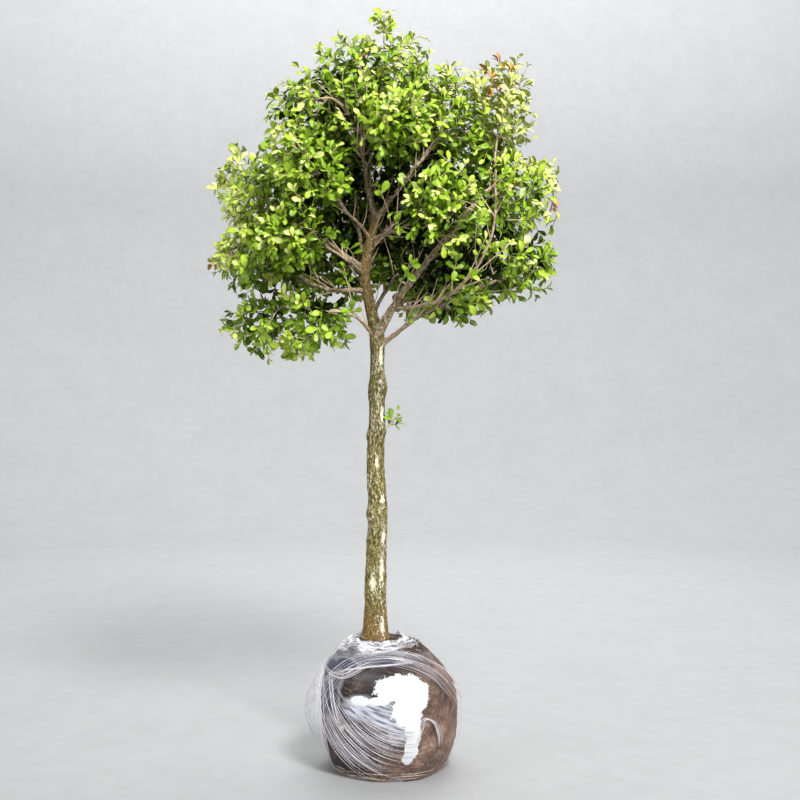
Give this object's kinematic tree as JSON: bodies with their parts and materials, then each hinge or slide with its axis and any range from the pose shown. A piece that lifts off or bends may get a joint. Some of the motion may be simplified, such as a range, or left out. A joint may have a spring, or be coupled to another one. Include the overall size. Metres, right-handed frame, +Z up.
{
  "type": "boxwood sapling with root ball",
  "caption": "Young boxwood on one bare stem, with a loose round crown of small oval leaves and a soil root ball wrapped in clear film.",
  "frame": {"origin": "middle of the root ball's flat underside, on the ground", "axes": "+Z up along the stem, -Y towards the crown's open front where the boughs show, +X to the right as the front is looked at"},
  "size_m": [0.524, 0.3846, 1.1339],
  "materials": {
    "soil": "moist dark red-brown earth with fine roots, matte",
    "film": "clear stretch film, glossy, wrinkled",
    "bark": "rough grey-tan bark with pale flaked patches",
    "young_bark": "thin grey-tan bark, slightly ridged",
    "foliage": "leathery green leaves, satin",
    "bright_foliage": "young lime-green leaves, satin"
  },
  "bodies": {
    "root": {"root_ball": "soil", "film_wrap": "film", "trunk": "bark", "right_main": "young_bark", "leader_bough": "young_bark", "right_leader": "young_bark", "back_leader": "young_bark", "left_bough": "young_bark", "left_arm": "young_bark", "low_right_arm": "young_bark", "low_left_arm": "young_bark", "back_left_bough": "young_bark", "back_right_bough": "young_bark", "back_low_left_bough": "young_bark", "back_low_right_bough": "young_bark", "back_middle_bough": "young_bark", "right_wand": "young_bark", "left_wand": "young_bark", "left_twin": "young_bark", "long_shoot_low": "young_bark", "long_shoot_high": "young_bark", "low_right_spur": "young_bark", "leader": "young_bark", "front_fork": "young_bark", "tuft_shoot": "young_bark", "crown_top": "bright_foliage", "top_left": "foliage", "top_right": "foliage", "right_upper": "bright_foliage", "left_mid": "foliage", "right_mid": "foliage", "left_low": "foliage", "right_low": "foliage", "low_left": "foliage", "low_right": "foliage", "back_top": "foliage", "back_left": "foliage", "back_right": "foliage", "back_low_left": "foliage", "back_low_right": "foliage", "back_middle": "foliage", "front_left": "foliage", "front_left_low": "foliage", "front_right": "foliage", "front_top": "foliage", "leader_tuft": "bright_foliage", "stem_sprout": "foliage"}
  },
  "joints": []
}
